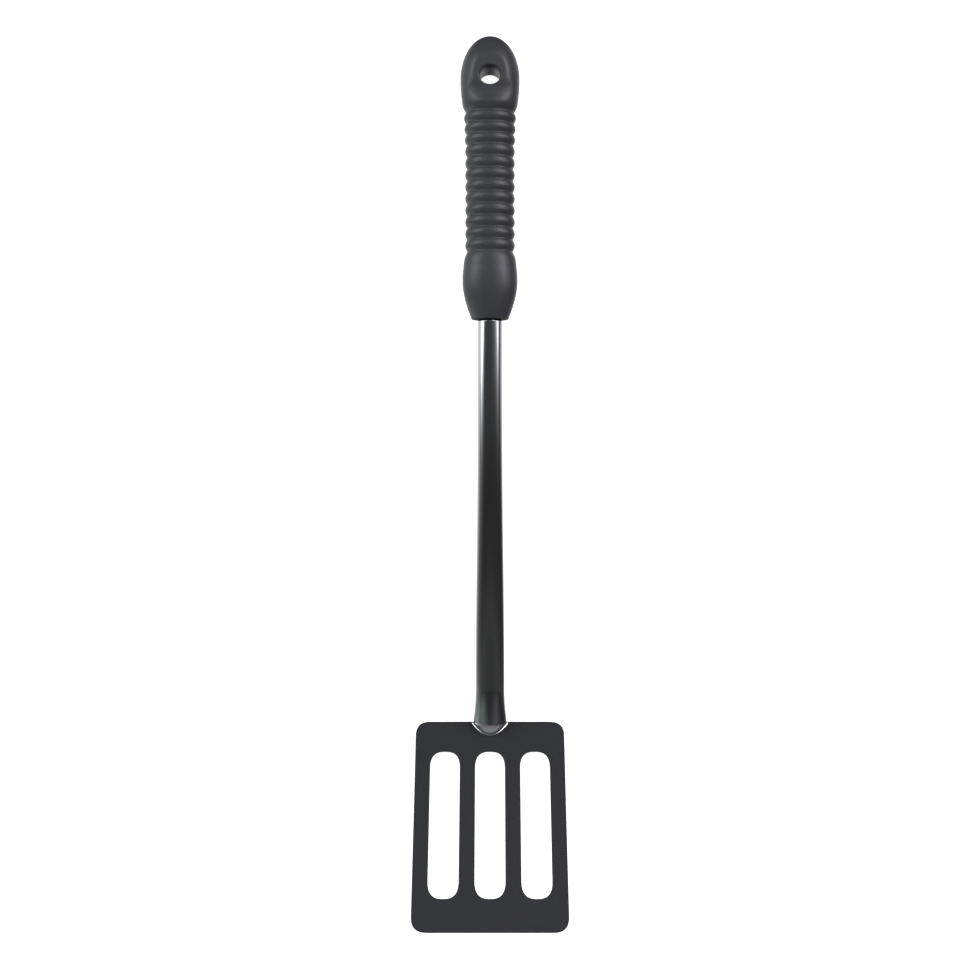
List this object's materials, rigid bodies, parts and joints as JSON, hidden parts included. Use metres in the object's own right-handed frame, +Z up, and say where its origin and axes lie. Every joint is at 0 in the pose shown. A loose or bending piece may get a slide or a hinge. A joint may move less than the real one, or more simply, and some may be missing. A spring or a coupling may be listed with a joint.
{
  "type": "grill spatula",
  "caption": "Grill spatula: a slotted dark turner blade on a chromed steel shaft, with a ribbed oval soft grip that has a hanging hole in its egg-shaped end.",
  "frame": {"origin": "on the surface that the spatula lies on, under the middle of its bounding box", "axes": "+Y along the shaft towards the hanging hole, +X across the blade, +Z up, out of the food side of the blade"},
  "size_m": [0.0732, 0.4252, 0.0507],
  "materials": {
    "nonstick_coating": "matt charcoal non-stick coating on sheet steel",
    "chromed_steel": "mirror bright chrome on steel tube",
    "polished_weld": "polished weld bead",
    "soft_grip": "dark grey soft-touch rubber with a satin sheen",
    "rigid_core": "black glass-filled nylon",
    "spring_steel": "plain rolled spring steel",
    "black_seal": "matt black rubber"
  },
  "bodies": {
    "root": {"blade": "nonstick_coating", "shaft_tube": "chromed_steel", "foot_weld": "polished_weld", "heel_weld": "polished_weld", "grip": "soft_grip", "handle_core": "rigid_core", "retaining_pin": "spring_steel", "mouth_seal": "black_seal"}
  },
  "joints": []
}
